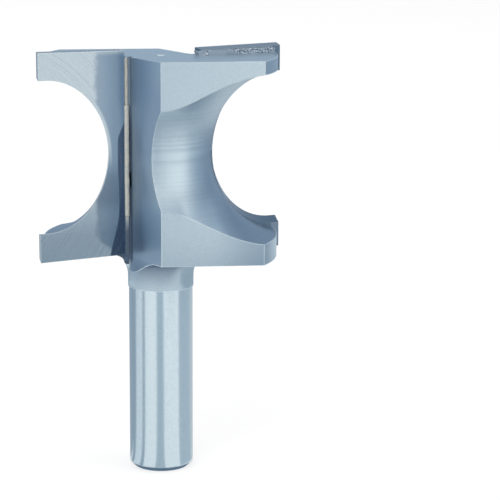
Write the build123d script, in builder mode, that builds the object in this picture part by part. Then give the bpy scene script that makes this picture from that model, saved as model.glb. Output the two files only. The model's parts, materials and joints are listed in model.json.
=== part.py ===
from build123d import *
import os
from math import cos, hypot, radians, sin, tan

# Half-round router bit with two brazed carbide tips, in millimetres.
# The shank stands on Z = 0 and its axis is the Z axis. The cutting edges lie in the plane Y = 0:
# wing 1 points along +X and cuts towards +Y, wing 2 is the same wing turned by 180 degrees.

os.makedirs("parts", exist_ok=True)

# Shank and neck
shank_diameter = 12.7
shank_length = 37.2
shank_chamfer = 1.0
neck_diameter = 13.04
neck_fillet = 4.2
neck_length = 6.15

# Head of the steel body
head_height = 39.6
wing_count = 2

# Cutting profile, as the edges sweep it: half an ellipse sunk into the side of a cylinder
cutting_diameter = 50.0
throat_diameter = 21.8
groove_half_height = 14.84
groove_height = 20.93
groove_lip = 1.5

# Carbide tips
tip_thickness = 3.6
tip_inner_radius = 7.29
tip_length = 40.75
tip_bottom_gap = 0.35
tip_dish = 0.25
tip_edge_break = 0.2

# Relief of the carbide, in degrees behind the cutting edges, and how much lower the groove is at its back
tip_end_relief = 2.5
tip_side_relief = 14.0
tip_groove_relief = 7.0
tip_groove_drop = 0.3

# Relief of the steel: its side and its groove are turned about axes set off from the shank's
side_relief_offset = 0.83
groove_relief_offset = 1.95

# How far the steel stays behind the cutting profile
body_clearance = 1.7
throat_clearance = 0.32
body_groove_deepening = 2.87
body_groove_widening = 1.72
body_groove_drop = 0.4

# Flutes: a wall that leans from square to the cutting plane, and a floor just behind it
flute_wall_distance = 6.15
flute_wall_lean = 10.2
flute_floor_depth = 0.5
flute_corner_radius = 1.0
runout_radius = 12.5
runout_height = 0.95

# Flat back of each wing
back_distance = 11.79
back_angle = 18.5

# Seats and braze
braze_thickness = 0.15
braze_seam_width = 0.64
braze_recess = 0.2
braze_top_gap = 0.3
seat_overrun = 1.4

# Centre hole in the head's top face
centre_hole_diameter = 1.0
centre_countersink_diameter = 2.2
centre_countersink_angle = 60
centre_hole_depth = 2.6

# Allowances: what the blanks have to lose in turning, and how far cutting tools run past the steel
blank_allowance = 1.0
overshoot = 5.0

# Sizes worked out from the ones above
shank_radius = shank_diameter / 2
neck_radius = neck_diameter / 2
cutting_radius = cutting_diameter / 2
throat_radius = throat_diameter / 2
head_bottom = shank_length + neck_length
head_top = head_bottom + head_height
tip_bottom = head_bottom + tip_bottom_gap
tip_top = tip_bottom + tip_length
groove_centre = head_bottom + groove_height
groove_half_depth = cutting_radius - groove_lip - throat_radius
seat_depth = tip_thickness + braze_thickness
seat_inner_radius = tip_inner_radius - braze_seam_width
blank_radius = cutting_radius + blank_allowance
# Cutting tools reach this far across the blank
reach = cutting_diameter


def tip_outline(depth):
    """Outline of tip 1 at this depth behind its cutting face, with each edge set back by its relief."""
    end_setback = depth * tan(radians(tip_end_relief))
    side_setback = depth * tan(radians(tip_side_relief))
    growth = depth * tan(radians(tip_groove_relief))
    outer = cutting_radius - side_setback
    middle = groove_centre - tip_groove_drop * depth / tip_thickness
    half_height = groove_half_height + growth
    Polyline(
        (outer - groove_lip, middle + half_height),
        (outer, middle + half_height),
        (outer, tip_top - end_setback),
        (tip_inner_radius, tip_top - tip_dish - end_setback),
        (tip_inner_radius, tip_bottom + tip_dish + end_setback),
        (outer, tip_bottom + end_setback),
        (outer, middle - half_height),
        (outer - groove_lip, middle - half_height),
    )
    EllipticalCenterArc(
        (outer - groove_lip, middle),
        groove_half_depth + growth,
        half_height,
        start_angle=90,
        arc_size=180,
    )


# Steel that wing 1 loses behind its cutting plane: a groove around one axis and a side around another
body_groove_half_depth = groove_half_depth + body_groove_deepening
body_throat = hypot(throat_radius, groove_relief_offset) - throat_clearance
body_side = hypot(cutting_radius - body_clearance, side_relief_offset)
with BuildPart() as wing_relief:
    with BuildSketch(Plane.XZ.offset(-groove_relief_offset)):
        with Locations((body_throat + body_groove_half_depth, groove_centre - body_groove_drop)):
            Ellipse(body_groove_half_depth, groove_half_height + body_groove_widening)
    revolve(axis=Axis((0, groove_relief_offset, 0), (0, 0, 1)))
    with BuildSketch(Plane.XZ.offset(-side_relief_offset)):
        with Locations((body_side, head_bottom - overshoot)):
            Rectangle(reach, head_height + 2 * overshoot, align=(Align.MIN, Align.MIN))
    revolve(axis=Axis((0, side_relief_offset, 0), (0, 0, 1)))
    split(bisect_by=Plane.XZ, keep=Keep.TOP)

# Flute in front of wing 1: a straight wall whose lower end curves out of the neck
wall_direction = Vector(cos(radians(flute_wall_lean)), sin(radians(flute_wall_lean)), 0)
wall_plane = Plane(
    origin=(0, 0, 0),
    x_dir=wall_direction,
    z_dir=wall_direction.cross(Vector(0, 0, 1)),
)
runout_start = head_bottom + runout_height
with BuildPart() as flute:
    with BuildSketch(wall_plane):
        with BuildLine():
            Polyline(
                (flute_wall_distance, runout_start),
                (flute_wall_distance, tip_top + overshoot),
                (reach, tip_top + overshoot),
                (reach, runout_start - runout_radius),
                (flute_wall_distance + runout_radius, runout_start - runout_radius),
            )
            RadiusArc(
                (flute_wall_distance + runout_radius, runout_start - runout_radius),
                (flute_wall_distance, runout_start),
                runout_radius,
            )
        make_face()
    extrude(amount=reach, both=True)
    split(bisect_by=Plane.XZ.offset(flute_floor_depth), keep=Keep.BOTTOM)
    floor = flute.faces().sort_by(Axis.Y)[0]
    wall_edges = floor.edges().sort_by(Axis.X)[:2]
    fillet(wall_edges, radius=flute_corner_radius)

# Flat back of wing 1
with BuildPart() as flat_back:
    with BuildSketch(Plane.XY.offset(head_bottom - overshoot)):
        with Locations(Rotation(0, 0, -back_angle)):
            with Locations((0, -back_distance)):
                Rectangle(2 * reach, reach, align=(Align.CENTER, Align.MAX))
    extrude(amount=head_height + 2 * overshoot)

# Seat of tip 1: a step milled through the head along the whole wing
with BuildPart() as tip_seat:
    with BuildSketch(Plane.XY.offset(head_bottom - seat_overrun)):
        with Locations((seat_inner_radius, -seat_depth)):
            Rectangle(reach, seat_depth + overshoot, align=(Align.MIN, Align.MIN))
    extrude(amount=head_height + seat_overrun + overshoot)

# Steel body: shank, neck and head turned in one, then milled and relieved
with BuildPart() as cutter_body:
    with BuildSketch(Plane.XZ):
        with BuildLine():
            Polyline(
                (neck_radius, head_bottom - neck_fillet),
                (neck_radius, shank_length),
                (shank_radius, shank_length),
                (shank_radius, shank_chamfer),
                (shank_radius - shank_chamfer, 0),
                (0, 0),
                (0, head_top),
                (blank_radius, head_top),
                (blank_radius, head_bottom),
                (neck_radius + neck_fillet, head_bottom),
            )
            Spline(
                (neck_radius + neck_fillet, head_bottom),
                (neck_radius, head_bottom - neck_fillet),
                tangents=((-1, 0), (0, -1)),
            )
        make_face()
    revolve(axis=Axis.Z)
    with PolarLocations(0, wing_count):
        add(flute.part, mode=Mode.SUBTRACT)
        add(flat_back.part, mode=Mode.SUBTRACT)
        add(wing_relief.part, mode=Mode.SUBTRACT)
        add(tip_seat.part, mode=Mode.SUBTRACT)
    with Locations((0, 0, head_top)):
        CounterSinkHole(
            radius=centre_hole_diameter / 2,
            counter_sink_radius=centre_countersink_diameter / 2,
            depth=centre_hole_depth,
            counter_sink_angle=centre_countersink_angle,
        )

# Tip 1: a plate whose outline shrinks from its cutting face to its back
with BuildPart() as tip_plate:
    for depth in (0, tip_thickness):
        with BuildSketch(Plane.XZ.offset(depth)):
            with BuildLine():
                tip_outline(depth)
            make_face()
    loft(ruled=True)
    inner_edge = tip_plate.edges().filter_by(Axis.Z).sort_by(Axis.X)[:2].sort_by(Axis.Y)[-1]
    chamfer(inner_edge, length=tip_edge_break)

# Braze of tip 1: a thin layer behind the plate and a seam along its inner end
with BuildPart() as braze:
    with BuildSketch(Plane.XY.offset(tip_bottom + tip_dish)):
        with Locations((seat_inner_radius, -seat_depth)):
            Rectangle(blank_radius, braze_thickness, align=(Align.MIN, Align.MIN))
    extrude(amount=tip_length - 2 * tip_dish - braze_top_gap)
    with BuildSketch(Plane.XY.offset(tip_bottom + tip_dish)):
        with Locations((seat_inner_radius, -tip_thickness)):
            Rectangle(braze_seam_width, tip_thickness - braze_recess, align=(Align.MIN, Align.MIN))
    extrude(amount=head_top - tip_bottom - tip_dish)
    add(wing_relief.part, mode=Mode.SUBTRACT)

cutter_body.part.label = "cutter_body"
export_step(cutter_body.part, "parts/cutter_body.step")

for number in range(wing_count):
    turn = Rotation(0, 0, number * 360 / wing_count)
    tip_name = f"carbide_tip_{number + 1}"
    braze_name = f"braze_joint_{number + 1}"
    with BuildPart() as carbide_tip:
        with Locations(turn):
            add(tip_plate.part)
    carbide_tip.part.label = tip_name
    export_step(carbide_tip.part, f"parts/{tip_name}.step")
    with BuildPart() as braze_joint:
        with Locations(turn):
            add(braze.part)
    braze_joint.part.label = braze_name
    export_step(braze_joint.part, f"parts/{braze_name}.step")
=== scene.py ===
import json
from math import cos, pi, radians, sin

import bpy
from bpy.props import FloatProperty, FloatVectorProperty, PointerProperty
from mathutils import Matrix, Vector


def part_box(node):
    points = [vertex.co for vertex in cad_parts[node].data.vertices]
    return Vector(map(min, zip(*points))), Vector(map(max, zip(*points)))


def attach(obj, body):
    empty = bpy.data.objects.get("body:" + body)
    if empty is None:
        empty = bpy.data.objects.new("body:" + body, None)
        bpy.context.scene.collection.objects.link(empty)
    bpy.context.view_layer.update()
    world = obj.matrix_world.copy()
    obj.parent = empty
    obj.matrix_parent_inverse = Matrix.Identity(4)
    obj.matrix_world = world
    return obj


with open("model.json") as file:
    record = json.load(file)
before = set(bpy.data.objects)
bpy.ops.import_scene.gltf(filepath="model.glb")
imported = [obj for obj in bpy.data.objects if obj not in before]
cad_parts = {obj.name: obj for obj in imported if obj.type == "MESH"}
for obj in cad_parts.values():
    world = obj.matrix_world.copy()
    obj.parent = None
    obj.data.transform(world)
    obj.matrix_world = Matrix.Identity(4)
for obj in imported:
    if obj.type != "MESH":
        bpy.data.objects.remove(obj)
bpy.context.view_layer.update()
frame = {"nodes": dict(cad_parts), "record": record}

bl_info = {
    "name": "Router Bit",
    "version": (1, 0, 0),
    "blender": (4, 5, 0),
    "location": "3D View > Sidebar > Router Bit",
    "description": "Finishes of a brazed router bit, its braze crusts and the studio round it",
    "category": "Object",
}

# Places in metres, from the frame where it has them. Wing 1 points along +X and wing 2 along -X.
BODY_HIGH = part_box("cutter_body")[1]
TIP_LOW, TIP_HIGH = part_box("carbide_tip_1")
BRAZE_LOW, BRAZE_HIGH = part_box("braze_joint_1")
SHANK_MOUNT = frame["record"]["mounts"][0]
SHANK_TOP = SHANK_MOUNT["pos_m"][2] + SHANK_MOUNT["dims"]["length_mm"] / 2000
SHANK_RADIUS = SHANK_MOUNT["dims"]["r_mm"] / 1000
HEAD_BOTTOM = 0.04335
HEAD_TOP = BODY_HIGH.z
WING_COUNT = 2
MICRO = 1e-6

# A mask's edge stays this far from the face that it follows
FACE_MARGIN = 20 * MICRO

# The steel groove: half an ellipse turned about an axis beside the shank's own
GROOVE_PROFILE = {
    "Axis offset": 0.00195,
    "Centre r": 0.02622,
    "Centre z": 0.06388,
    "Depth": 0.01547,
    "Half height": 0.01656,
}
GROOVE_TOLERANCE = 0.005

# The steel's side is turned about another axis
SIDE_AXIS_OFFSET = 0.00083
SIDE_RADIUS = 0.02331

# The cutting profile that the carbide is ground to
TIP_PROFILE = {
    "Axis offset": 0.0,
    "Centre r": 0.0235,
    "Centre z": 0.06428,
    "Depth": 0.0126,
    "Half height": 0.01484,
}

# The flute's wall leans by this angle from square to the cutting plane
WALL_LEAN = radians(10.2)
WALL_DIRECTION = (cos(WALL_LEAN), sin(WALL_LEAN), 0)

# Below the wings' flat backs the neck is darkest on the side that faces this way
SHADE_ANGLE = radians(37)
SHADE_DIRECTION = (-sin(SHADE_ANGLE), -cos(SHADE_ANGLE), 0)

# Middle of the arcs that the grinding wheel left on the carbide
WHEEL_CENTRE = (0.036, 0, 0.060)

# The photograph's camera, with its angles in degrees
CAMERA_PLACE = (-0.144325, -0.357004, 0.127046)
CAMERA_PITCH = 12.14
CAMERA_TURN = -23.17
CAMERA_LENS = 142.87
CAMERA_SHIFT = 0.10024

# Colour of painted highlights: on edges, on the break beside each seam and low on the wings' sides
HIGHLIGHT_COLOUR = (0.89, 0.97, 1.0)


class SteelSettings(bpy.types.PropertyGroup):
    colour: FloatVectorProperty(
        name="Steel colour", description="Colour of the ground steel",
        subtype="COLOR", default=(0.60, 0.71, 0.77), min=0, max=1,
    )
    patch_colour: FloatVectorProperty(
        name="Patch colour", description="Colour of the speckle and faint patches in the ground steel",
        subtype="COLOR", default=(0.46, 0.57, 0.65), min=0, max=1,
    )
    # Painted highlight: the colour laid where the groove and the flutes' walls are lit most
    highlight_colour: FloatVectorProperty(
        name="Polished colour", description="Colour of the steel where the groove is polished most",
        subtype="COLOR", default=(0.68, 0.80, 0.86), min=0, max=1,
    )
    streak_colour: FloatVectorProperty(
        name="Streak colour", description="Colour of the dark turning marks in the groove",
        subtype="COLOR", default=(0.36, 0.46, 0.55), min=0, max=1,
    )
    # Painted shade: the colour laid over the groove's shaded parts and the head's shaded sides and foot
    shade_colour: FloatVectorProperty(
        name="Wall colour", description="Colour of the dull milled steel",
        subtype="COLOR", default=(0.30, 0.40, 0.50), min=0, max=1,
    )
    # Painted shade on the flutes' walls beside the seam, and painted light away from it
    wall_shade_colour: FloatVectorProperty(
        name="Inner wall colour", description="Colour of the flute walls beside the seam",
        subtype="COLOR", default=(0.30, 0.42, 0.55), min=0, max=1,
    )
    wall_lit_colour: FloatVectorProperty(
        name="Outer wall colour", description="Colour of the flute walls away from the seam",
        subtype="COLOR", default=(0.50, 0.62, 0.74), min=0, max=1,
    )
    # Painted shade, not scale: the colour laid in the corners beside the seams, below the tips, at the foot
    # of the flutes' walls and on the shaded neck
    corner_shade_colour: FloatVectorProperty(
        name="Corner colour", description="Colour of the scale in the corner beside the seam",
        subtype="COLOR", default=(0.12, 0.17, 0.25), min=0, max=1,
    )
    pit_colour: FloatVectorProperty(
        name="Pit colour", description="Colour of the burnt pit in the corner of wing 2",
        subtype="COLOR", default=(0.015, 0.025, 0.045), min=0, max=1,
    )
    shank_roughness: FloatProperty(
        name="Shank roughness", description="Roughness of the ground shank", default=0.16, min=0, max=1,
    )
    head_roughness: FloatProperty(
        name="Head roughness", description="Roughness of the milled head", default=0.30, min=0, max=1,
    )
    mark_height: FloatProperty(
        name="Mark height", description="Height of the turning marks in the groove",
        default=0.00002, unit="LENGTH",
    )


class CarbideSettings(bpy.types.PropertyGroup):
    colour: FloatVectorProperty(
        name="Carbide colour", description="Colour of the ground carbide",
        subtype="COLOR", default=(0.54, 0.63, 0.68), min=0, max=1,
    )
    # Painted reflection: the dark colour laid on the faces' inner parts near the seams, also the colour of
    # the speckle
    reflection_and_speck_colour: FloatVectorProperty(
        name="Inner colour", description="Colour of the carbide that the last grinding pass left",
        subtype="COLOR", default=(0.19, 0.275, 0.37), min=0, max=1,
    )
    # Painted shade low on the faces; also the colour of the painted reflection's outer end and of the
    # grinding arcs
    shade_and_arc_colour: FloatVectorProperty(
        name="Fade colour", description="Colour of the carbide where the last pass runs out",
        subtype="COLOR", default=(0.27, 0.36, 0.45), min=0, max=1,
    )
    # Painted reflection: the dark sliver beside the seam
    sliver_reflection_colour: FloatVectorProperty(
        name="Sliver colour", description="Colour of the carbide that no wheel reached beside the seam",
        subtype="COLOR", default=(0.05, 0.08, 0.135), min=0, max=1,
    )
    back_colour: FloatVectorProperty(
        name="Back colour", description="Colour of the tips' backs, which no wheel has touched",
        subtype="COLOR", default=(0.24, 0.31, 0.39), min=0, max=1,
    )
    # Painted shade on the relief faces and on the backs' shaded parts
    relief_shade_colour: FloatVectorProperty(
        name="Relief colour", description="Colour of the relief faces behind the cutting edges",
        subtype="COLOR", default=(0.14, 0.21, 0.28), min=0, max=1,
    )
    roughness: FloatProperty(
        name="Carbide roughness", description="Roughness of the ground faces", default=0.20, min=0, max=1,
    )
    inner_roughness: FloatProperty(
        name="Inner roughness", description="Roughness beside the seam", default=0.16, min=0, max=1,
    )
    back_roughness: FloatProperty(
        name="Back roughness", description="Roughness of the tips' backs", default=0.45, min=0, max=1,
    )
    # Reach inside which the painted dark reflection lies
    inner_radius: FloatProperty(
        name="Inner radius", description="Distance from the axis to which the last pass left the face",
        default=0.0134, unit="LENGTH",
    )
    # Top of the painted highlight on the break beside the seam
    break_top: FloatProperty(
        name="Bright break's top", description="Height below which the break beside the seam is bright",
        default=0.0735, unit="LENGTH",
    )
    land_width: FloatProperty(
        name="Land width", description="Width of the bright land along the curved edge",
        default=0.0006, unit="LENGTH",
    )


class BrazeSettings(bpy.types.PropertyGroup):
    colour: FloatVectorProperty(
        name="Braze colour", description="Colour of the bright braze",
        subtype="COLOR", default=(0.69, 0.64, 0.54), min=0, max=1,
    )
    dark_colour: FloatVectorProperty(
        name="Scale colour", description="Colour of the braze under flux and scale",
        subtype="COLOR", default=(0.34, 0.41, 0.49), min=0, max=1,
    )
    speck_colour: FloatVectorProperty(
        name="Speck colour", description="Colour of the bright beads in the scale",
        subtype="COLOR", default=(0.85, 0.88, 0.88), min=0, max=1,
    )
    # Also the colour of the painted shade at the seam's foot
    pit_colour: FloatVectorProperty(
        name="Pit colour", description="Colour of the pits in the scale",
        subtype="COLOR", default=(0.08, 0.11, 0.15), min=0, max=1,
    )
    bead_low: FloatProperty(
        name="Bead's foot", description="Height at which the full seam begins",
        default=0.0516, unit="LENGTH",
    )
    bead_high: FloatProperty(
        name="Bead's top", description="Height at which the full seam ends", default=0.0735, unit="LENGTH",
    )
    lump: FloatProperty(
        name="Lump", description="How far the braze's lumps stand out", default=0.00028, unit="LENGTH",
    )


class StageSettings(bpy.types.PropertyGroup):
    floor_colour: FloatVectorProperty(
        name="Floor colour", description="Colour of the floor",
        subtype="COLOR", default=(0.9, 0.9, 0.9), min=0, max=1,
    )
    world_colour: FloatVectorProperty(
        name="World colour", description="Colour of the light from all round",
        subtype="COLOR", default=(1, 1, 1), min=0, max=1,
    )
    mid_card: FloatVectorProperty(
        name="Mid card", description="Tone of the grey reflection cards",
        subtype="COLOR", default=(0.58, 0.64, 0.70), min=0, max=1,
    )
    dark_card: FloatVectorProperty(
        name="Dark card", description="Tone of the dark reflection cards",
        subtype="COLOR", default=(0.33, 0.41, 0.51), min=0, max=1,
    )
    light_card: FloatVectorProperty(
        name="Light card", description="Tone of the light reflection cards",
        subtype="COLOR", default=(0.68, 0.72, 0.75), min=0, max=1,
    )
    pale_card: FloatVectorProperty(
        name="Pale card", description="Tone of the shank's left light band",
        subtype="COLOR", default=(0.88, 0.92, 0.94), min=0, max=1,
    )
    shade_card: FloatVectorProperty(
        name="Shade card", description="Tone that the shank's left side reflects",
        subtype="COLOR", default=(0.42, 0.49, 0.56), min=0, max=1,
    )
    front_card: FloatVectorProperty(
        name="Front card", description="Tone that the shank's front reflects",
        subtype="COLOR", default=(0.54, 0.61, 0.67), min=0, max=1,
    )
    back_card: FloatVectorProperty(
        name="Back card", description="Tone that the head's top face reflects",
        subtype="COLOR", default=(0.40, 0.49, 0.60), min=0, max=1,
    )
    low_card: FloatVectorProperty(
        name="Low card", description="Tone that the lower half of the head reflects",
        subtype="COLOR", default=(0.42, 0.48, 0.54), min=0, max=1,
    )
    collar_card: FloatVectorProperty(
        name="Collar card", description="Tone that the neck and the head's undersides reflect",
        subtype="COLOR", default=(0.44, 0.51, 0.57), min=0, max=1,
    )
    neck_card: FloatVectorProperty(
        name="Neck card", description="Tone that the neck's front reflects",
        subtype="COLOR", default=(0.75, 0.80, 0.83), min=0, max=1,
    )
    foot_card: FloatVectorProperty(
        name="Foot card", description="Tone that the bit's foot reflects",
        subtype="COLOR", default=(0.16, 0.22, 0.29), min=0, max=1,
    )
    lamp_power: FloatProperty(
        name="Lamp power", description="Power of the large soft lamp", default=9.0, unit="POWER",
    )


def opaque(colour):
    """A colour as a socket takes it: a link as it is, and three numbers with an alpha of 1."""
    return colour if isinstance(colour, bpy.types.NodeSocket) else (*colour, 1)


class Nodes:
    """Adds nodes to one tree. Its masks are 0 where a finish is absent and 1 where it is full."""

    def __init__(self, tree):
        self.tree = tree

    def feed(self, node, inputs):
        """Links sockets to a node's inputs, and sets its other inputs to plain values."""
        for socket, value in inputs.items():
            if isinstance(value, bpy.types.NodeSocket):
                self.tree.links.new(value, node.inputs[socket])
            else:
                node.inputs[socket].default_value = value

    def add(self, kind, inputs=None, **settings):
        """Adds a node with these settings and inputs, and returns its outputs."""
        made = self.tree.nodes.new(kind)
        for name, value in settings.items():
            setattr(made, name, value)
        self.feed(made, inputs or {})
        return made.outputs

    def use(self, group, values):
        """Places a node group with these values at its inputs."""
        return self.add("ShaderNodeGroup", values, node_tree=group)

    def calc(self, operation, *values, clamp=False):
        inputs = dict(enumerate(values))
        return self.add("ShaderNodeMath", inputs, operation=operation, use_clamp=clamp)[0]

    def vector_calc(self, operation, *vectors):
        return self.add("ShaderNodeVectorMath", dict(enumerate(vectors)), operation=operation)

    def times(self, first, *others):
        for other in others:
            first = self.calc("MULTIPLY", first, other)
        return first

    def linear(self, value, slope, start, clamp=False):
        """value * slope + start"""
        return self.calc("MULTIPLY_ADD", value, slope, start, clamp=clamp)

    def invert(self, value):
        return self.calc("SUBTRACT", 1.0, value)

    def size(self, value):
        return self.calc("ABSOLUTE", value)

    def square(self, value):
        return self.calc("MULTIPLY", value, value)

    def larger(self, first, second):
        return self.calc("MAXIMUM", first, second)

    def apart(self, value, centre):
        """Distance between two numbers."""
        return self.size(self.calc("SUBTRACT", value, centre))

    def above(self, value, limit):
        return self.calc("GREATER_THAN", value, limit)

    def below(self, value, limit):
        return self.calc("LESS_THAN", value, limit)

    def within(self, value, low, high):
        """1 between two limits and 0 outside them, with no fade."""
        return self.times(self.above(value, low), self.below(value, high))

    def rise(self, value, low, high):
        """0 below low and 1 above high, smooth between them."""
        inputs = {"Value": value, "From Min": low, "From Max": high}
        return self.add("ShaderNodeMapRange", inputs, interpolation_type="SMOOTHSTEP")["Result"]

    def fall(self, value, low, high):
        """1 below low and 0 above high, smooth between them."""
        return self.invert(self.rise(value, low, high))

    def band(self, value, start, full, fading, end):
        """1 from full to fading and 0 outside start and end, smooth between them."""
        return self.times(self.rise(value, start, full), self.fall(value, fading, end))

    def split(self, vector):
        return self.add("ShaderNodeSeparateXYZ", {"Vector": vector})

    def noise(self, vector, scale, detail, roughness):
        inputs = {"Vector": vector, "Scale": scale, "Detail": detail, "Roughness": roughness}
        return self.add("ShaderNodeTexNoise", inputs)["Fac"]

    def bump(self, height, distance, normal=None):
        inputs = {"Height": height, "Distance": distance}
        if normal is not None:
            inputs["Normal"] = normal
        return self.add("ShaderNodeBump", inputs)["Normal"]

    def blend(self, factor, first, second):
        """Colour first where the factor is 0 and second where it is 1."""
        inputs = {0: factor, 6: opaque(first), 7: opaque(second)}
        return self.add("ShaderNodeMix", inputs, data_type="RGBA")[2]

    def coat(self, colour, coats):
        """Lays coats over a colour: each has a mask, how much of it shows there, and its own colour."""
        for mask, share, coat in coats:
            colour = self.blend(mask if share == 1 else self.times(mask, share), colour, coat)
        return colour


def new_group(name, inputs, outputs):
    """An empty node group with float inputs at their defaults, and the sockets that bring those in."""
    tree = bpy.data.node_groups.new(name, "ShaderNodeTree")
    for label, value in inputs.items():
        socket = tree.interface.new_socket(label, in_out="INPUT", socket_type="NodeSocketFloat")
        socket.default_value = value
    for label, kind in outputs.items():
        tree.interface.new_socket(label, in_out="OUTPUT", socket_type=kind)
    nodes = Nodes(tree)
    return nodes, nodes.add("NodeGroupInput")


def make_edge_group():
    """Rounds sharp edges in the shading, and masks them for painted highlights and for wear."""
    nodes, ins = new_group(
        "rounded_edges", {"Radius": 0.0001}, {"Mask": "NodeSocketFloat", "Normal": "NodeSocketVector"},
    )
    rounded = nodes.add("ShaderNodeBevel", {"Radius": ins["Radius"]}, samples=6)["Normal"]
    sharp = nodes.add("ShaderNodeNewGeometry")["Normal"]
    turned_away = nodes.invert(nodes.vector_calc("DOT_PRODUCT", rounded, sharp)["Value"])
    nodes.add("NodeGroupOutput", {"Mask": nodes.rise(turned_away, 0.004, 0.05), "Normal": rounded})
    return nodes.tree


def make_grain_group():
    """Fine grain of ground metal: a height, and a mask of patches."""
    nodes, ins = new_group(
        "metal_grain", {"Grain": 9000.0, "Patch": 320.0},
        {"Height": "NodeSocketFloat", "Patches": "NodeSocketFloat"},
    )
    place = nodes.add("ShaderNodeTexCoord")["Object"]
    grain = nodes.noise(place, ins["Grain"], 3.0, 0.6)
    patches = nodes.noise(place, ins["Patch"], 4.0, 0.65)
    nodes.add("NodeGroupOutput", {"Height": grain, "Patches": nodes.rise(patches, 0.3, 0.7)})
    return nodes.tree


def make_profile_group():
    """Place on a half-elliptical groove: 1 on its outline, less inside it and more outside it."""
    nodes, ins = new_group(
        "groove_profile",
        {"Axis offset": 0.0, "Centre r": 0.0, "Centre z": 0.0, "Depth": 1.0, "Half height": 1.0},
        {"Level": "NodeSocketFloat"},
    )
    axes = nodes.split(nodes.add("ShaderNodeTexCoord")["Object"])
    across = nodes.calc("ADD", nodes.size(axes["Y"]), ins["Axis offset"])
    radius = nodes.calc("SQRT", nodes.calc("ADD", nodes.square(axes["X"]), nodes.square(across)))
    inside = nodes.calc("MINIMUM", nodes.calc("SUBTRACT", radius, ins["Centre r"]), 0.0)
    along = nodes.square(nodes.calc("DIVIDE", inside, ins["Depth"]))
    off_middle = nodes.calc("SUBTRACT", axes["Z"], ins["Centre z"])
    upwards = nodes.square(nodes.calc("DIVIDE", off_middle, ins["Half height"]))
    nodes.add("NodeGroupOutput", {"Level": nodes.calc("SQRT", nodes.calc("ADD", along, upwards))})
    return nodes.tree


def shared_groups():
    """The node groups that more than one material uses, made once."""
    makers = {
        "rounded_edges": make_edge_group,
        "metal_grain": make_grain_group,
        "groove_profile": make_profile_group,
    }
    return [bpy.data.node_groups.get(name) or make() for name, make in makers.items()]


def start_material(name):
    """A material, its nodes, its shader, its object coordinates and those split up."""
    material = bpy.data.materials.new(name)
    material.use_nodes = True
    nodes = Nodes(material.node_tree)
    place = nodes.add("ShaderNodeTexCoord")["Object"]
    return material, nodes, nodes.tree.nodes["Principled BSDF"], place, nodes.split(place)


def dress_node(node_name, material):
    """Gives a CAD node its material, with its shape left as it is."""
    node = frame["nodes"][node_name]
    for material_slot in node.material_slots:
        material_slot.material = material


# Where the steel's finishes start and end: two places between which a finish fades, or two such pairs.
# Height is above the shank's end, reach is along the wings from the axis, out is from the cutting plane
# into the flute, and side is along the groove, from the flute's wall to the wing's end, all in metres.
# The speckle's span is in noise, and how a face is turned is given as the cosine of an angle.
STEEL_EDGE_RADIUS = 0.00028
STEP_HALF_BAND = 0.0004
SPECKLE_SPAN = (0.42, 0.60)

WALL_FACING_SPAN = (0.90, 0.97)
WALL_SEAM_OUT = (0.0003, 0.0050)
WALL_LIT_HEIGHT = (0.048, 0.056)
WALL_MIDDLE_HEIGHT = (0.052, 0.057, 0.0615, 0.0655)
WALL_MIDDLE_OUT = (0.001, 0.004)
WALL_FOOT_HEIGHT = (0.047, 0.056)
WALL_FOOT_OUT = (0.001, 0.006)
RUN_OUT_HEIGHT = (0.0436, 0.0456)

# Where the painted shade lies in the corners beside the seams and at the seats' foot
CORNER_OUT = (0.0003, 0.0010)
CORNER_REACH = (0.0056, 0.0068)
CORNER_START = 0.002
SEAT_FOOT_REACH = (0.0064, 0.0095)
SEAT_FOOT_DEPTH = 0.0018
SEAT_FOOT_FACING = 0.97
CORNER_SHADE_FADE_HEIGHT = (0.068, 0.074)

LOW_HEIGHT = (0.050, 0.060)
LOW_REACH = (0.003, 0.016)
SIDE_FORE = (0.0100, 0.0168)
SIDE_REAR = (0.0140, 0.0178)
NECK_SHADE_SPAN = (0.0038, 0.0060)
FAINT_EDGE_HEIGHT = (0.0600, 0.0640)
FAINT_EDGE_REACH = 0.009

# Where the groove's painted highlight and painted shade lie
HIGHLIGHT_HEIGHT = (0.0555, 0.0595, 0.0645, 0.0685)
SHADE_ABOVE_HEIGHT = (0.0660, 0.0690, 0.0710, 0.0745)
SHADE_BELOW_HEIGHT = (0.0530, 0.0585)
DIM_HEIGHT = (0.0665, 0.0715)
BANDED_HEIGHT = (0.0620, 0.0635, 0.0680, 0.0695)
OFF_WALL_SIDE = (-0.0042, 0.0010)
SPILL_SIDE = (-0.0010, 0.0010, 0.0060, 0.0095)
OUTER_SIDE = (0.0085, 0.0125)
DIM_SIDE = (0.0030, 0.0085)

PIT_HEIGHT = 0.0589
PIT_SPAN = (0.0022, 0.0030)
PIT_REACH = 0.0062


def turning_marks(nodes, place, stretch, detail, roughness):
    """Marks that run round the axis, so they change with height almost alone."""
    stretched = nodes.add("ShaderNodeMapping", {"Vector": place, "Scale": stretch})["Vector"]
    return nodes.noise(stretched, 1.0, detail, roughness)


def shade_wall(nodes, settings, height, out, from_seam):
    """The flutes' walls in painted light and shade: dark beside the seam and at the foot, lightest near the
    middle of their height.
    """
    lit = nodes.times(from_seam, nodes.linear(nodes.rise(height, *WALL_LIT_HEIGHT), 0.7, 0.3))
    lit = nodes.larger(lit, nodes.times(nodes.fall(height, *RUN_OUT_HEIGHT), 0.5))
    middle = nodes.times(nodes.band(height, *WALL_MIDDLE_HEIGHT), nodes.rise(out, *WALL_MIDDLE_OUT))
    foot = nodes.times(nodes.fall(out, *WALL_FOOT_OUT), nodes.fall(height, *WALL_FOOT_HEIGHT))
    return nodes.coat(settings.wall_shade_colour, (
        (lit, 1, settings.wall_lit_colour),
        (middle, 0.6, settings.highlight_colour),
        (foot, 0.2, settings.corner_shade_colour),
    ))


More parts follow.
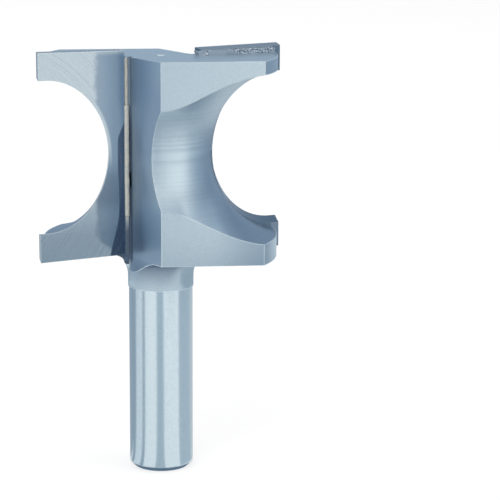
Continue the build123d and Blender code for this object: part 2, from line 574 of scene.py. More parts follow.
def mask_corner_shade(nodes, height, reach, out, normals):
    """Where shade is painted: in the corner beside each seam, and at the seat's foot below the tip."""
    in_corner = nodes.times(
        nodes.fall(nodes.size(out), *CORNER_OUT),
        nodes.within(reach, *CORNER_REACH),
        nodes.rise(height, HEAD_BOTTOM - CORNER_START, HEAD_BOTTOM),
    )
    facing = nodes.split(normals)
    square_on = nodes.larger(nodes.size(facing["X"]), nodes.size(facing["Y"]))
    at_seat_foot = nodes.times(
        nodes.above(square_on, SEAT_FOOT_FACING),
        nodes.within(height, HEAD_BOTTOM - SEAT_FOOT_DEPTH, TIP_LOW.z),
        nodes.within(reach, *SEAT_FOOT_REACH),
    )
    return in_corner, at_seat_foot


def mask_sides(nodes, axes, reach, in_groove):
    """The wings' sides get a painted highlight low down towards the tips, and painted shade above and
    behind. The rest of the head's lower part gets painted shade that grows towards its side."""
    behind = nodes.size(axes["Y"])
    from_axis = nodes.add("ShaderNodeCombineXYZ", {
        "X": axes["X"], "Y": nodes.calc("ADD", behind, SIDE_AXIS_OFFSET),
    })["Vector"]
    on_side = nodes.above(nodes.vector_calc("LENGTH", from_axis)["Value"], SIDE_RADIUS - 60 * MICRO)
    low = nodes.fall(axes["Z"], *LOW_HEIGHT)
    side_highlight = nodes.times(on_side, low, nodes.fall(behind, *SIDE_FORE))
    shaded_side = nodes.times(on_side, nodes.larger(nodes.invert(low), nodes.rise(behind, *SIDE_REAR)))
    shaded_foot = nodes.times(
        nodes.rise(reach, *LOW_REACH), low, nodes.invert(on_side), nodes.linear(in_groove, -0.35, 0.85),
    )
    return side_highlight, shaded_side, shaded_foot


def mask_neck_shade(nodes, place, height):
    """The neck is in the head's shade below the wings' flat backs."""
    frontal = nodes.size(nodes.vector_calc("DOT_PRODUCT", place, SHADE_DIRECTION)["Value"])
    return nodes.times(
        nodes.rise(frontal, *NECK_SHADE_SPAN),
        nodes.rise(height, SHANK_TOP - 0.0006, HEAD_BOTTOM + 0.0002),
        nodes.below(height, HEAD_BOTTOM - FACE_MARGIN),
    )


def mask_groove(nodes, height, side):
    """A painted highlight lies at the groove's middle, and painted shade darkens it above, below and
    towards the wing's end.
    """
    off_wall = nodes.rise(side, *OFF_WALL_SIDE)
    shade_below = nodes.fall(height, *SHADE_BELOW_HEIGHT)
    spill = nodes.band(side, *SPILL_SIDE)
    highlit = nodes.larger(
        nodes.times(nodes.band(height, *HIGHLIGHT_HEIGHT), off_wall), nodes.times(shade_below, spill),
    )
    outer_low = nodes.times(shade_below, nodes.rise(side, *OUTER_SIDE))
    dim = nodes.times(
        nodes.rise(side, *DIM_SIDE), nodes.fall(height, *DIM_HEIGHT), nodes.invert(shade_below),
    )
    dimmed = nodes.times(shade_below, nodes.linear(spill, -0.45, 0.5))
    dimmed = nodes.linear(nodes.band(height, *SHADE_ABOVE_HEIGHT), 0.12, dimmed)
    dimmed = nodes.linear(nodes.invert(off_wall), 0.12, dimmed)
    dimmed = nodes.linear(outer_low, 0.52, dimmed)
    dimmed = nodes.linear(dim, 0.75, dimmed, clamp=True)
    return highlit, dimmed


def make_steel(settings, edges, grain, profile):
    material, nodes, shader, place, axes = start_material("ground_steel")
    height = axes["Z"]
    reach = nodes.size(axes["X"])
    out = nodes.times(axes["Y"], nodes.calc("SIGN", axes["X"]))
    side = nodes.times(axes["X"], nodes.calc("SIGN", axes["Y"]), -1.0)
    normals = nodes.add("ShaderNodeNewGeometry")["True Normal"]
    beside_step = nodes.below(
        nodes.apart(height, SHANK_TOP - FACE_MARGIN - STEP_HALF_BAND), STEP_HALF_BAND,
    )
    edge_radius = nodes.linear(beside_step, -STEEL_EDGE_RADIUS, STEEL_EDGE_RADIUS)
    edge_wear_and_glint = nodes.use(edges, {"Radius": edge_radius})
    fine = nodes.use(grain, {"Grain": 3600.0, "Patch": 900.0})
    marks = turning_marks(nodes, place, (15, 15, 2600), 5.0, 0.7)
    rings = turning_marks(nodes, place, (8, 8, 800), 2.0, 0.5)

    level = nodes.use(profile, GROOVE_PROFILE)["Level"]
    in_groove = nodes.below(nodes.apart(level, 1.0), GROOVE_TOLERANCE)
    highlit, dimmed = mask_groove(nodes, height, side)
    streaks = nodes.times(in_groove, nodes.rise(marks, 0.45, 0.75))
    banded = nodes.times(nodes.band(height, *BANDED_HEIGHT), in_groove, nodes.rise(rings, 0.46, 0.58))

    on_shank = nodes.invert(nodes.above(height, SHANK_TOP - 5 * MICRO))
    from_seam = nodes.rise(out, *WALL_SEAM_OUT)
    facing_wall = nodes.size(nodes.vector_calc("DOT_PRODUCT", normals, WALL_DIRECTION)["Value"])
    on_wall = nodes.times(
        nodes.rise(facing_wall, *WALL_FACING_SPAN),
        nodes.rise(height, SHANK_TOP, HEAD_BOTTOM),
        nodes.invert(in_groove),
    )
    in_corner, at_seat_foot = mask_corner_shade(nodes, height, reach, out, normals)
    side_highlight, shaded_side, shaded_foot = mask_sides(nodes, axes, reach, in_groove)
    # Painted highlight along the edges, fainter high up near the axis
    faint = nodes.times(nodes.rise(height, *FAINT_EDGE_HEIGHT), nodes.below(reach, FAINT_EDGE_REACH))
    edge_highlight = nodes.times(edge_wear_and_glint["Mask"], nodes.linear(faint, -0.6, 1.0))
    corner_shade_share = nodes.linear(nodes.rise(height, *CORNER_SHADE_FADE_HEIGHT), -0.45, 0.95)

    # A pit in the corner of wing 2, where flux burnt out
    off_pit = nodes.linear(marks, 0.002, nodes.apart(height, PIT_HEIGHT))
    in_pit = nodes.times(
        nodes.fall(off_pit, *PIT_SPAN), in_corner,
        nodes.above(reach, PIT_REACH), nodes.below(axes["X"], 0.0),
    )

    speckle = nodes.linear(nodes.rise(fine["Height"], *SPECKLE_SPAN), 0.26, -0.05)
    speckle = nodes.linear(fine["Patches"], 0.12, speckle)
    colour = nodes.coat(settings.colour, (
        (speckle, 1, settings.patch_colour),
        # Painted highlight and painted shade in the groove
        (nodes.times(in_groove, highlit), 1, settings.highlight_colour),
        (nodes.times(in_groove, dimmed), 1, settings.shade_colour),
        (streaks, 0.35, settings.streak_colour),
        (banded, 0.28, settings.streak_colour),
        # Painted shade on the head's lower part and sides, and a painted highlight low on the sides
        (shaded_foot, 1, settings.shade_colour),
        (shaded_side, 0.4, settings.shade_colour),
        (side_highlight, 1, HIGHLIGHT_COLOUR),
        (mask_neck_shade(nodes, place, height), 0.85, settings.corner_shade_colour),
        # The flutes' walls, in painted light and shade
        (on_wall, 0.9, shade_wall(nodes, settings, height, out, from_seam)),
        (edge_highlight, 1, HIGHLIGHT_COLOUR),
        # Painted shade in the corners beside the seams and below the tips
        (nodes.times(in_corner, corner_shade_share), 1, settings.corner_shade_colour),
        (at_seat_foot, 0.75, settings.corner_shade_colour),
        (in_pit, 1, settings.pit_colour),
    ))

    smoother = settings.shank_roughness - settings.head_roughness
    rough = nodes.linear(on_shank, smoother, settings.head_roughness)
    rough = nodes.linear(fine["Patches"], 0.05, rough)
    rough = nodes.linear(in_groove, 0.06, rough)
    rough = nodes.linear(nodes.times(on_wall, nodes.invert(from_seam)), 0.2, rough)
    rough = nodes.linear(nodes.larger(edge_wear_and_glint["Mask"], in_corner), 0.35, rough)

    groove_height = nodes.times(in_groove, nodes.linear(rings, 2.0, marks))
    normal = nodes.bump(groove_height, settings.mark_height, edge_wear_and_glint["Normal"])
    normal = nodes.bump(nodes.times(on_shank, marks), 1.2 * MICRO, normal)
    normal = nodes.bump(fine["Height"], 4 * MICRO, normal)
    nodes.feed(shader, {"Base Color": colour, "Metallic": 1.0, "Roughness": rough, "Normal": normal})
    return material


# Where the carbide's finishes start and end, in the same way
TIP_EDGE_RADIUS = 0.0002
INNER_EDGE_SPAN = (-0.0005, 0.0009)
INNER_FADE_REACH = (0.0085, 0.0130)
INNER_MIDDLE_HEIGHT = (0.0515, 0.056, 0.0585, 0.0635)
FOOT_HEIGHT = (0.0436, 0.0485)
FOOT_WIDENING = 0.0036
LAND_HALF_HEIGHT = 0.004
TIP_TOP_SPAN = (-0.0012, -0.0003)

SLIVER_SWELL_HEIGHT = (0.0665, 0.0715)
SLIVER_WAIST_HEIGHT = (0.0570, 0.0615)
SLIVER_SPREAD_HEIGHT = (0.042, 0.053)
SLIVER_WIDTH = 0.0016
SLIVER_WAIST = -0.0002
SLIVER_SPREAD = 0.0021
SLIVER_EDGE_SPAN = (-0.0001, 0.0001)

TIP_SHADE_HEIGHT = (0.050, 0.058)
KEEN_HEIGHT = (0.0535, 0.0585)
UNSHADED_RELIEF_TOP = 0.055
UNSHADED_RELIEF_WIDTH = 0.0010
BREAK_FACING = (0.6, 0.8)
RELIEF_FACING = (0.4, 0.6)


def mask_inner_reflection(nodes, settings, height, reach, patches, level):
    """The face's inner part, near the seam, carries a painted dark reflection, except on a land along the
    upper curved edge.
    """
    wavy = nodes.linear(patches, 0.0006, reach)
    wavy = nodes.linear(nodes.fall(height, *FOOT_HEIGHT), FOOT_WIDENING, wavy)
    inner = nodes.fall(wavy, *(settings.inner_radius + place for place in INNER_EDGE_SPAN))
    land = settings.land_width / TIP_PROFILE["Depth"]
    middle = TIP_PROFILE["Centre z"]
    upper = nodes.rise(height, middle - LAND_HALF_HEIGHT, middle + LAND_HALF_HEIGHT)
    off_land = nodes.larger(nodes.rise(level, 1 + 0.4 * land, 1 + 1.6 * land), nodes.invert(upper))
    below_top = nodes.fall(height, *(TIP_HIGH.z + place for place in TIP_TOP_SPAN))
    return nodes.times(inner, off_land, nodes.linear(below_top, 0.5, 0.5))


def mask_sliver_reflection(nodes, height, reach):
    """A painted dark reflection lies as a sliver beside the seam, from the groove's upper half down."""
    width = nodes.times(nodes.fall(height, *SLIVER_SWELL_HEIGHT), SLIVER_WIDTH)
    width = nodes.linear(nodes.fall(height, *SLIVER_WAIST_HEIGHT), SLIVER_WAIST, width)
    width = nodes.linear(nodes.fall(height, *SLIVER_SPREAD_HEIGHT), SLIVER_SPREAD, width)
    past = nodes.calc("SUBTRACT", nodes.calc("SUBTRACT", reach, TIP_LOW.x), width)
    return nodes.fall(past, *SLIVER_EDGE_SPAN)


def grinding_arcs(nodes, reach, height):
    """Uneven arcs of a wide wheel, the same on both tips."""
    on_face = nodes.add("ShaderNodeCombineXYZ", {"X": reach, "Y": 0.0, "Z": height})["Vector"]
    from_wheel = nodes.vector_calc("DISTANCE", on_face, WHEEL_CENTRE)["Value"]
    inputs = {"W": from_wheel, "Scale": 2600.0, "Detail": 3.0, "Roughness": 0.7}
    return nodes.add("ShaderNodeTexNoise", inputs, noise_dimensions="1D")["Fac"]


def make_carbide(settings, edges, grain, profile):
    material, nodes, shader, _, axes = start_material("ground_carbide")
    height = axes["Z"]
    reach = nodes.size(axes["X"])
    normals = nodes.add("ShaderNodeNewGeometry")["True Normal"]
    facing = nodes.size(nodes.split(normals)["Y"])
    edge_wear_and_glint = nodes.use(edges, {"Radius": TIP_EDGE_RADIUS})
    fine = nodes.use(grain, {"Grain": 3600.0, "Patch": 420.0})
    level = nodes.use(profile, TIP_PROFILE)["Level"]

    # A painted dark reflection on the faces' inner parts
    dark = mask_inner_reflection(nodes, settings, height, reach, fine["Patches"], level)
    # Painted shade: the faces grow darker towards the bottom
    low = nodes.fall(height, *TIP_SHADE_HEIGHT)
    arc_share = nodes.linear(low, 0.12, nodes.linear(dark, -0.13, 0.20))
    arcs = nodes.times(nodes.rise(grinding_arcs(nodes, reach, height), 0.48, 0.68), arc_share)
    speckle = nodes.times(nodes.rise(fine["Height"], *SPECKLE_SPAN), 0.13)
    speckle = nodes.linear(fine["Patches"], 0.03, speckle)

    # Backs and reliefs are darker than the faces: the reliefs by painted shade. A back gets painted shade
    # past the
    #     steel's side in its upper half, and inside it in its lower half.
    on_back = nodes.above(nodes.size(axes["Y"]), -TIP_LOW.y - FACE_MARGIN)
    on_relief = nodes.fall(facing, *RELIEF_FACING)
    on_break = nodes.within(facing, *BREAK_FACING)
    overhang = nodes.above(reach, BODY_HIGH.x - 0.0004)
    below_middle = nodes.below(height, TIP_PROFILE["Centre z"])
    shaded = nodes.times(on_back, nodes.apart(overhang, below_middle))

    # The low end of wing 2's relief keeps the face's colour, without the painted shade
    unshaded_relief = nodes.times(
        on_relief, nodes.below(axes["X"], UNSHADED_RELIEF_WIDTH - TIP_HIGH.x), nodes.below(height, UNSHADED_RELIEF_TOP),
    )

    # Painted highlights along the edges, brightest high up and faint on backs and reliefs, and on the break
    # beside the seam
    lit_break = nodes.larger(
        nodes.below(height, settings.break_top), nodes.above(height, HEAD_TOP + 200 * MICRO),
    )
    keen = nodes.times(
        edge_wear_and_glint["Mask"],
        nodes.linear(nodes.rise(height, *KEEN_HEIGHT), 0.75, 0.25),
        nodes.linear(nodes.larger(on_back, on_relief), -0.65, 0.85),
    )
    edge_highlight = nodes.larger(keen, nodes.times(on_break, lit_break))

    # Colour of the painted dark reflection, lighter towards its outer end and darker at its middle height
    inner_reflection_tint = nodes.coat(settings.reflection_and_speck_colour, (
        (nodes.rise(reach, *INNER_FADE_REACH), 1, settings.shade_and_arc_colour),
        (nodes.band(height, *INNER_MIDDLE_HEIGHT), 0.4, settings.sliver_reflection_colour),
    ))
    colour = nodes.coat(settings.colour, (
        (low, 0.44, settings.shade_and_arc_colour),
        (dark, 1, inner_reflection_tint),
        (mask_sliver_reflection(nodes, height, reach), 1, settings.sliver_reflection_colour),
        (arcs, 1, settings.shade_and_arc_colour),
        (speckle, 1, settings.reflection_and_speck_colour),
        (on_back, 1, settings.back_colour),
        (nodes.larger(on_relief, shaded), 1, settings.relief_shade_colour),
        (unshaded_relief, 1, settings.colour),
        (edge_highlight, 1, HIGHLIGHT_COLOUR),
    ))

    rough = nodes.linear(dark, settings.inner_roughness - settings.roughness, settings.roughness)
    rough = nodes.linear(on_back, settings.back_roughness - settings.roughness, rough)
    rough = nodes.linear(on_break, 0.3, rough)
    normal = nodes.bump(fine["Height"], 2 * MICRO, edge_wear_and_glint["Normal"])
    nodes.feed(shader, {"Base Color": colour, "Metallic": 1.0, "Roughness": rough, "Normal": normal})
    return material


# Where the braze's finishes start and end, in the same way
BEAD_FOOT_SPAN = (-0.003, 0.001)
BEAD_TOP_FADE = 0.0006
SEAM_MARGIN = 0.0003
SEAM_SHADE_HEIGHT = (0.0480, 0.0515)
CRUST_REACH = (0.0130, 0.0150)
LUMPS_REACH = (0.0092, 0.0099)


def make_braze(settings, grain):
    material, nodes, shader, place, axes = start_material("silver_braze")
    height = axes["Z"]
    reach = nodes.size(axes["X"])
    patches = nodes.use(grain, {"Grain": 4200.0, "Patch": 900.0})["Patches"]
    pits = nodes.noise(place, 1700.0, 5.0, 0.7)
    specks = nodes.noise(place, 2900.0, 2.0, 0.6)

    # Bright tan braze along the middle of the seam, with painted shade at its foot, and darker scale above
    # and below it and on the backs
    near_seam = nodes.below(reach, TIP_LOW.x + SEAM_MARGIN)
    above_foot = nodes.rise(height, *(settings.bead_low + place for place in BEAD_FOOT_SPAN))
    below_top = nodes.fall(height, HEAD_TOP - BEAD_TOP_FADE, HEAD_TOP)
    pitted = nodes.linear(nodes.rise(pits, 0.42, 0.62), 0.3, 0.7)
    bright_seam = nodes.times(near_seam, above_foot, below_top, pitted)
    seam_foot_shade = nodes.times(near_seam, nodes.fall(height, *SEAM_SHADE_HEIGHT))

    # Bright beads and dark pits in the scale on the backs
    rough_part = nodes.calc("ADD", nodes.rise(reach, *CRUST_REACH), nodes.fall(reach, *LUMPS_REACH))
    on_scale = nodes.times(nodes.invert(near_seam), rough_part)
    colour = nodes.coat(settings.dark_colour, (
        # Painted shade where the seam fades at its foot
        (seam_foot_shade, 0.8, settings.pit_colour),
        (bright_seam, 1, settings.colour),
        (nodes.times(nodes.rise(specks, 0.55, 0.64), on_scale), 1, settings.speck_colour),
        (nodes.times(nodes.fall(specks, 0.36, 0.47), on_scale), 1, settings.pit_colour),
    ))
    nodes.feed(shader, {
        "Base Color": colour,
        "Metallic": nodes.linear(patches, -0.3, 0.85),
        "Roughness": nodes.linear(patches, 0.2, 0.32),
        "Normal": nodes.bump(pits, 60 * MICRO),
    })
    return material


def set_mode(mode):
    bpy.ops.object.mode_set(mode=mode)


def apply_transform():
    bpy.ops.object.transform_apply(location=True, rotation=True, scale=True)


def deselect_parts(kind):
    """Leaves no vertex, edge or face of the active piece selected, ready to select some of one kind."""
    set_mode("EDIT")
    bpy.ops.mesh.select_mode(type=kind)
    bpy.ops.mesh.select_all(action="DESELECT")
    set_mode("OBJECT")


def select_only(*pieces):
    """Selects these pieces and makes the first one active."""
    bpy.ops.object.select_all(action="DESELECT")
    for piece in pieces:
        piece.select_set(True)
    bpy.context.view_layer.objects.active = pieces[0]


def new_piece(name, add, **settings):
    """Adds a piece by an operator, with everything else deselected first."""
    bpy.ops.object.select_all(action="DESELECT")
    add(**settings)
    piece = bpy.context.active_object
    piece.name = name
    return piece


def cut_along(piece, axis, cuts):
    """Divides the edges of a piece that run along an axis."""
    deselect_parts("EDGE")
    points = piece.data.vertices
    for edge in piece.data.edges:
        run = points[edge.vertices[1]].co - points[edge.vertices[0]].co
        edge.select = abs(run[axis]) > 0.99 * run.length
    set_mode("EDIT")
    bpy.ops.mesh.subdivide(number_cuts=cuts)
    set_mode("OBJECT")


def roughen(piece, lump, grain):
    """Pushes the surface out and in by a cloud pattern, then smooths it."""
    clouds = bpy.data.textures.new(piece.name + "_clouds", "CLOUDS")
    clouds.noise_scale = grain
    clouds.noise_depth = 2
    shake = piece.modifiers.new("lumps", "DISPLACE")
    shake.texture = clouds
    shake.texture_coords = "LOCAL"
    shake.strength = lump
    shake.mid_level = 0.5
    bpy.ops.object.modifier_apply(modifier=shake.name)
    bpy.ops.object.shade_smooth()


def braze_piece(name, centre, size, cuts, lump, grain):
    """A lumpy strip of braze, made from a block that is divided, rounded and roughened."""
    piece = new_piece(name, bpy.ops.mesh.primitive_cube_add, size=1, location=centre, scale=size)
    apply_transform()
    set_mode("EDIT")
    bpy.ops.mesh.select_all(action="SELECT")
    bpy.ops.mesh.bevel(offset=0.2 * min(size), segments=2)
    set_mode("OBJECT")
    for axis, count in enumerate(cuts):
        if count:
            cut_along(piece, axis, count)
    roughen(piece, lump, grain)
    return piece


def join_pieces(name, pieces):
    select_only(*pieces)
    bpy.ops.object.join()
    pieces[0].name = name
    return pieces[0]


def copy_to_wing_2(piece, name):
    """A copy of a piece of wing 1, turned to the other wing."""
    select_only(piece)
    bpy.ops.object.duplicate()
    copy = bpy.context.active_object
    copy.name = name
    bpy.ops.transform.rotate(value=pi, orient_axis="Z", center_override=(0, 0, 0))
    apply_transform()
    return copy


def finish_piece(piece, material):
    piece.data.materials.clear()
    piece.data.materials.append(material)
    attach(piece, "root")


def add_bead(settings):
    """The full bead along wing 1's seam, and the thin ridge that goes on above it."""
    seam_width = TIP_LOW.x - BRAZE_LOW.x
    seam_middle = (TIP_LOW.x + BRAZE_LOW.x) / 2
    bead_height = settings.bead_high - settings.bead_low
    bead = braze_piece(
        "braze_bead_1",
        centre=(seam_middle, -0.00012, settings.bead_low + bead_height / 2),
        size=(1.3 * seam_width, 0.0005, bead_height),
        cuts=(1, 0, 70), lump=0.6 * settings.lump, grain=0.0012,
    )
    ridge_height = HEAD_TOP - settings.bead_high
    ridge = braze_piece(
        "braze_ridge_1",
        centre=(seam_middle, -0.0002, settings.bead_high + ridge_height / 2),
        size=(0.6 * seam_width, 0.0003, ridge_height),
        cuts=(0, 0, 40), lump=0.5 * settings.lump, grain=0.0010,
    )
    return join_pieces("braze_bead_1", [bead, ridge])


def add_crust(settings):
    """The crust on tip 1's back where it stands above the steel, and the lumps on its inner end."""
    crust_start = 0.0126
    crust_end = BRAZE_HIGH.x - 0.0002
    crust_height = BRAZE_HIGH.z - HEAD_TOP
    crust = braze_piece(
        "braze_crust_1",
        centre=((crust_start + crust_end) / 2, TIP_LOW.y - 0.00012, HEAD_TOP + crust_height / 2),
        size=(crust_end - crust_start, 0.00022, crust_height),
        cuts=(120, 0, 12), lump=settings.lump, grain=0.0003,
    )
    end_height = 0.8 * crust_height
    lumps = braze_piece(
        "braze_lumps_1",
        centre=(TIP_LOW.x - 0.00006, TIP_LOW.y / 2, HEAD_TOP + end_height / 2),
        size=(0.00022, -0.8 * TIP_LOW.y, end_height),
        cuts=(0, 36, 12), lump=1.3 * settings.lump, grain=0.0004,
    )
    return join_pieces("braze_crust_1", [crust, lumps])


class ROUTERBIT_OT_steel(bpy.types.Operator):
    """Finish the shank, neck and head as ground and turned steel"""
    bl_idname = "routerbit.steel"
    bl_label = "Finish Steel Body"

    def execute(self, context):
        steel = make_steel(context.scene.routerbit_steel, *shared_groups())
        dress_node("cutter_body", steel)
        return {"FINISHED"}


class ROUTERBIT_OT_carbide(bpy.types.Operator):
    """Finish both carbide tips"""
    bl_idname = "routerbit.carbide"
    bl_label = "Finish Carbide Tips"

    def execute(self, context):
        carbide = make_carbide(context.scene.routerbit_carbide, *shared_groups())
        for wing in range(1, WING_COUNT + 1):
            dress_node(f"carbide_tip_{wing}", carbide)
        return {"FINISHED"}


class ROUTERBIT_OT_braze(bpy.types.Operator):
    """Finish the braze joints and add the beads and crusts that ran out of them"""
    bl_idname = "routerbit.braze"
    bl_label = "Add Braze"

    def execute(self, context):
        settings = context.scene.routerbit_braze
        braze = make_braze(settings, shared_groups()[1])
        for wing in range(1, WING_COUNT + 1):
            dress_node(f"braze_joint_{wing}", braze)
        bead = add_bead(settings)
        crust = add_crust(settings)
        for piece, name in ((bead, "braze_bead_2"), (crust, "braze_crust_2")):
            copy = copy_to_wing_2(piece, name)
            finish_piece(piece, braze)
            finish_piece(copy, braze)
        return {"FINISHED"}


# Reflection cards round the bit: start and end of each in degrees from the camera to its right, the radii
# between which it lies, how high it lies, how far it stands up at its end, and its tones near and far
CARDS = {
    "card_front": (-14, 10, 0.0075, 0.5, 0.0004, 0.25, "front_card", "mid_card"),
    "card_left": (-69, -59, 0.0075, 0.5, 0.0004, 0.25, "shade_card", "mid_card"),
    "card_left_rim": (-117, -101, 0.0075, 0.19, 0.0003, 0.0, "shade_card", "shade_card"),
    "card_left_pale": (-101, -69, 0.0075, 0.19, 0.0003, 0.0, "pale_card", "pale_card"),
    "card_right": (68, 125, 0.0075, 0.5, 0.0004, 0.8, "mid_card", "dark_card"),
    "card_back": (115, 180, 0.0075, 0.5, 0.0002, 0.0, "light_card", "dark_card"),
    "card_back_left": (180, 250, 0.0075, 0.5, 0.0002, 0.0, "shade_card", "dark_card"),
    "card_back_wall": (125, 243, 0.499, 0.5, 0.0004, 0.8, "back_card", "back_card"),
    "card_gullet_low": (-140, -85, 0.19, 0.25, 0.0008, 0.0, "dark_card", "dark_card"),
    "card_gullet_high": (-140, -85, 0.33, 0.49, 0.0008, 0.3, "dark_card", "dark_card"),
    "card_low": (22, 54, 0.19, 0.285, 0.0008, 0.0, "low_card", "low_card"),
    "card_collar": (0, 360, 0.0075, 0.045, 0.0370, 0.0, "collar_card", "collar_card"),
    "card_collar_light": (-100, 55, 0.0075, 0.022, 0.0371, 0.0, "neck_card", "neck_card"),
}
CARD_STEP_DEGREES = 3
FOOT_CARD_RADIUS = 0.0075
FOOT_CARD_HEIGHT = 0.0001

# The shank reflects these cards as bands, at these degrees from the camera to its right. Each card is
# moved aside by a share of its band's distance from the middle, so that the band stays upright.
BAND_PLACES = {
    "card_front": 0, "card_left": -32, "card_left_rim": -50, "card_left_pale": -50, "card_right": 48,
}
BAND_SHARE = 0.6

# Distances from the axis between which a card turns from its near tone to its far one
CARD_TURN = (0.10, 0.40)

# Soft lamps: place, width, and share of the lamp power. All point at the middle of the bit.
LAMPS = {
    "lamp_left": ((-0.7, -0.6, 0.8), 1.0, 1.0),
    "lamp_right": ((0.7, -0.5, 0.9), 1.0, 0.7),
    "lamp_back": ((0.1, 0.9, 0.9), 1.2, 0.5),
}
LAMP_TARGET = Vector((0, 0, 0.05))

FLOOR_SIZE = 8
FLOOR_WHITE_SHARE = 0.7
WORLD_LIGHT = 0.6


def add_card(name, start, end, inner, outer, lift, stand):
    """A card that lies round the bit from one angle to another, and stands up at its rim."""
    aside = -BAND_SHARE * SHANK_RADIUS * sin(radians(BAND_PLACES.get(name, 0)))
    middle = ((inner + outer) / 2, 0, lift)
    card = new_piece(name, bpy.ops.mesh.primitive_plane_add, size=outer - inner, location=middle)
    apply_transform()
    deselect_parts("VERT")
    for vertex in card.data.vertices:
        vertex.select = vertex.co.y > 0
    set_mode("EDIT")
    bpy.ops.mesh.delete(type="VERT")
    set_mode("OBJECT")
    for vertex in card.data.vertices:
        vertex.co.y = aside
        vertex.select = vertex.co.x > inner + MICRO
    set_mode("EDIT")
    if stand:
        bpy.ops.mesh.extrude_region_move(TRANSFORM_OT_translate={"value": (0, 0, stand)})
    bpy.ops.mesh.select_all(action="SELECT")
    steps = max(6, int((end - start) / CARD_STEP_DEGREES))
    bpy.ops.mesh.spin(steps=steps, angle=radians(start - end), center=(0, 0, 0), axis=(0, 0, 1))
    set_mode("OBJECT")
    card.rotation_euler.z = radians(-90 + CAMERA_TURN + start)
    apply_transform()
    return card


def dress_card(card, near_tone, far_tone):
    """Makes a card glow from one tone to another, and hides it from all but reflections."""
    material = bpy.data.materials.new(card.name)
    nodes = start_nodes(material)
    place = nodes.add("ShaderNodeTexCoord")["Object"]
    level = nodes.vector_calc("MULTIPLY", place, (1, 1, 0))["Vector"]
    away = nodes.vector_calc("LENGTH", level)["Value"]
    tone = nodes.blend(nodes.rise(away, *CARD_TURN), near_tone, far_tone)
    glow = nodes.add("ShaderNodeEmission", {"Color": tone, "Strength": 1.0})
    nodes.add("ShaderNodeOutputMaterial", {"Surface": glow[0]})
    card.data.materials.append(material)
    card.visible_camera = False
    card.visible_diffuse = False
    card.visible_transmission = False
    card.visible_shadow = False


def start_nodes(owner):
    """The emptied nodes of a material or world."""
    owner.use_nodes = True
    owner.node_tree.nodes.clear()
    return Nodes(owner.node_tree)


def seen_rays(nodes):
    """1 for rays from the camera and for reflected and refracted ones, 0 for those that light the bit."""
    path = nodes.add("ShaderNodeLightPath")
    mirrored = nodes.larger(path["Is Glossy Ray"], path["Is Transmission Ray"])
    return nodes.larger(path["Is Camera Ray"], mirrored)


def add_floor(settings):
    floor = new_piece("floor", bpy.ops.mesh.primitive_plane_add, size=FLOOR_SIZE, location=(0, 0, 0))
    material = bpy.data.materials.new("pale_floor")
    nodes = start_nodes(material)
    matt = nodes.add("ShaderNodeBsdfDiffuse", {"Color": opaque(settings.floor_colour)})
    white = nodes.add("ShaderNodeEmission", {"Color": (1, 1, 1, 1), "Strength": 1.0})
    share = nodes.times(seen_rays(nodes), FLOOR_WHITE_SHARE)
    mixed = nodes.add("ShaderNodeMixShader", {0: share, 1: matt[0], 2: white[0]})
    nodes.add("ShaderNodeOutputMaterial", {"Surface": mixed[0]})
    floor.data.materials.append(material)


def add_cards(settings):
    for name, (*shape, near_tone, far_tone) in CARDS.items():
        card = add_card(name, *shape)
        dress_card(card, getattr(settings, near_tone), getattr(settings, far_tone))
    foot = new_piece(
        "card_foot", bpy.ops.mesh.primitive_circle_add,
        radius=FOOT_CARD_RADIUS, fill_type="NGON", location=(0, 0, FOOT_CARD_HEIGHT),
    )
    dress_card(foot, settings.foot_card, settings.foot_card)


def add_lamps(settings):
    for name, (place, size, share) in LAMPS.items():
        lamp = new_piece(name, bpy.ops.object.light_add, type="AREA", location=place)
        lamp.data.shape = "SQUARE"
        lamp.data.size = size
        lamp.data.energy = settings.lamp_power * share
        lamp.visible_glossy = False
        lamp.visible_camera = False
        lamp.rotation_euler = (LAMP_TARGET - lamp.location).to_track_quat("-Z", "Y").to_euler()


def add_world(settings):
    world = bpy.data.worlds.new("studio")
    bpy.context.scene.world = world
    nodes = start_nodes(world)
    strength = nodes.linear(seen_rays(nodes), 1 - WORLD_LIGHT, WORLD_LIGHT)
    inputs = {"Color": opaque(settings.world_colour), "Strength": strength}
    glow = nodes.add("ShaderNodeBackground", inputs)
    nodes.add("ShaderNodeOutputWorld", {"Surface": glow[0]})


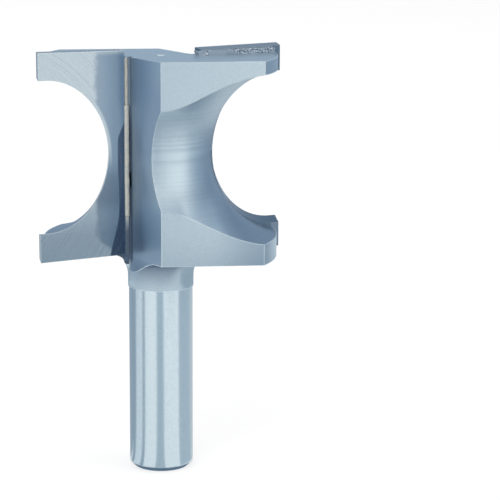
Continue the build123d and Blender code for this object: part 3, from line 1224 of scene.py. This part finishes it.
def add_camera():
    angles = (radians(90 - CAMERA_PITCH), 0, radians(CAMERA_TURN))
    camera = new_piece(
        "photo_camera", bpy.ops.object.camera_add, location=CAMERA_PLACE, rotation=angles,
    )
    camera.data.lens = CAMERA_LENS
    camera.data.shift_x = CAMERA_SHIFT
    camera.data.clip_start = 0.01
    bpy.context.scene.camera = camera


class ROUTERBIT_OT_stage(bpy.types.Operator):
    """Set up the floor, the soft lamps, the reflection cards and the camera"""
    bl_idname = "routerbit.stage"
    bl_label = "Set Up Stage"

    def execute(self, context):
        settings = context.scene.routerbit_stage
        add_floor(settings)
        add_cards(settings)
        add_lamps(settings)
        add_world(settings)
        add_camera()
        context.scene.view_settings.view_transform = "Standard"
        return {"FINISHED"}


class ROUTERBIT_PT_panel(bpy.types.Panel):
    """Lists the steps and sizes of the router bit"""
    bl_label = "Router Bit"
    bl_idname = "ROUTERBIT_PT_panel"
    bl_space_type = "VIEW_3D"
    bl_region_type = "UI"
    bl_category = "Router Bit"

    def draw(self, context):
        layout = self.layout
        for settings_name, operator in STEPS.items():
            settings = getattr(context.scene, settings_name)
            for field in settings.__annotations__:
                layout.prop(settings, field)
            layout.operator(operator)


STEPS = {
    "routerbit_steel": "routerbit.steel",
    "routerbit_carbide": "routerbit.carbide",
    "routerbit_braze": "routerbit.braze",
    "routerbit_stage": "routerbit.stage",
}
SETTINGS = {
    "routerbit_steel": SteelSettings,
    "routerbit_carbide": CarbideSettings,
    "routerbit_braze": BrazeSettings,
    "routerbit_stage": StageSettings,
}
CLASSES = (
    *SETTINGS.values(),
    ROUTERBIT_OT_steel,
    ROUTERBIT_OT_carbide,
    ROUTERBIT_OT_braze,
    ROUTERBIT_OT_stage,
    ROUTERBIT_PT_panel,
)


def register():
    for cls in CLASSES:
        bpy.utils.register_class(cls)
    for name, settings in SETTINGS.items():
        setattr(bpy.types.Scene, name, PointerProperty(type=settings))


def unregister():
    for name in SETTINGS:
        delattr(bpy.types.Scene, name)
    for cls in reversed(CLASSES):
        bpy.utils.unregister_class(cls)


def main():
    register()
    bpy.ops.routerbit.steel()
    bpy.ops.routerbit.carbide()
    bpy.ops.routerbit.braze()
    bpy.ops.routerbit.stage()


if __name__ == "__main__":
    main()
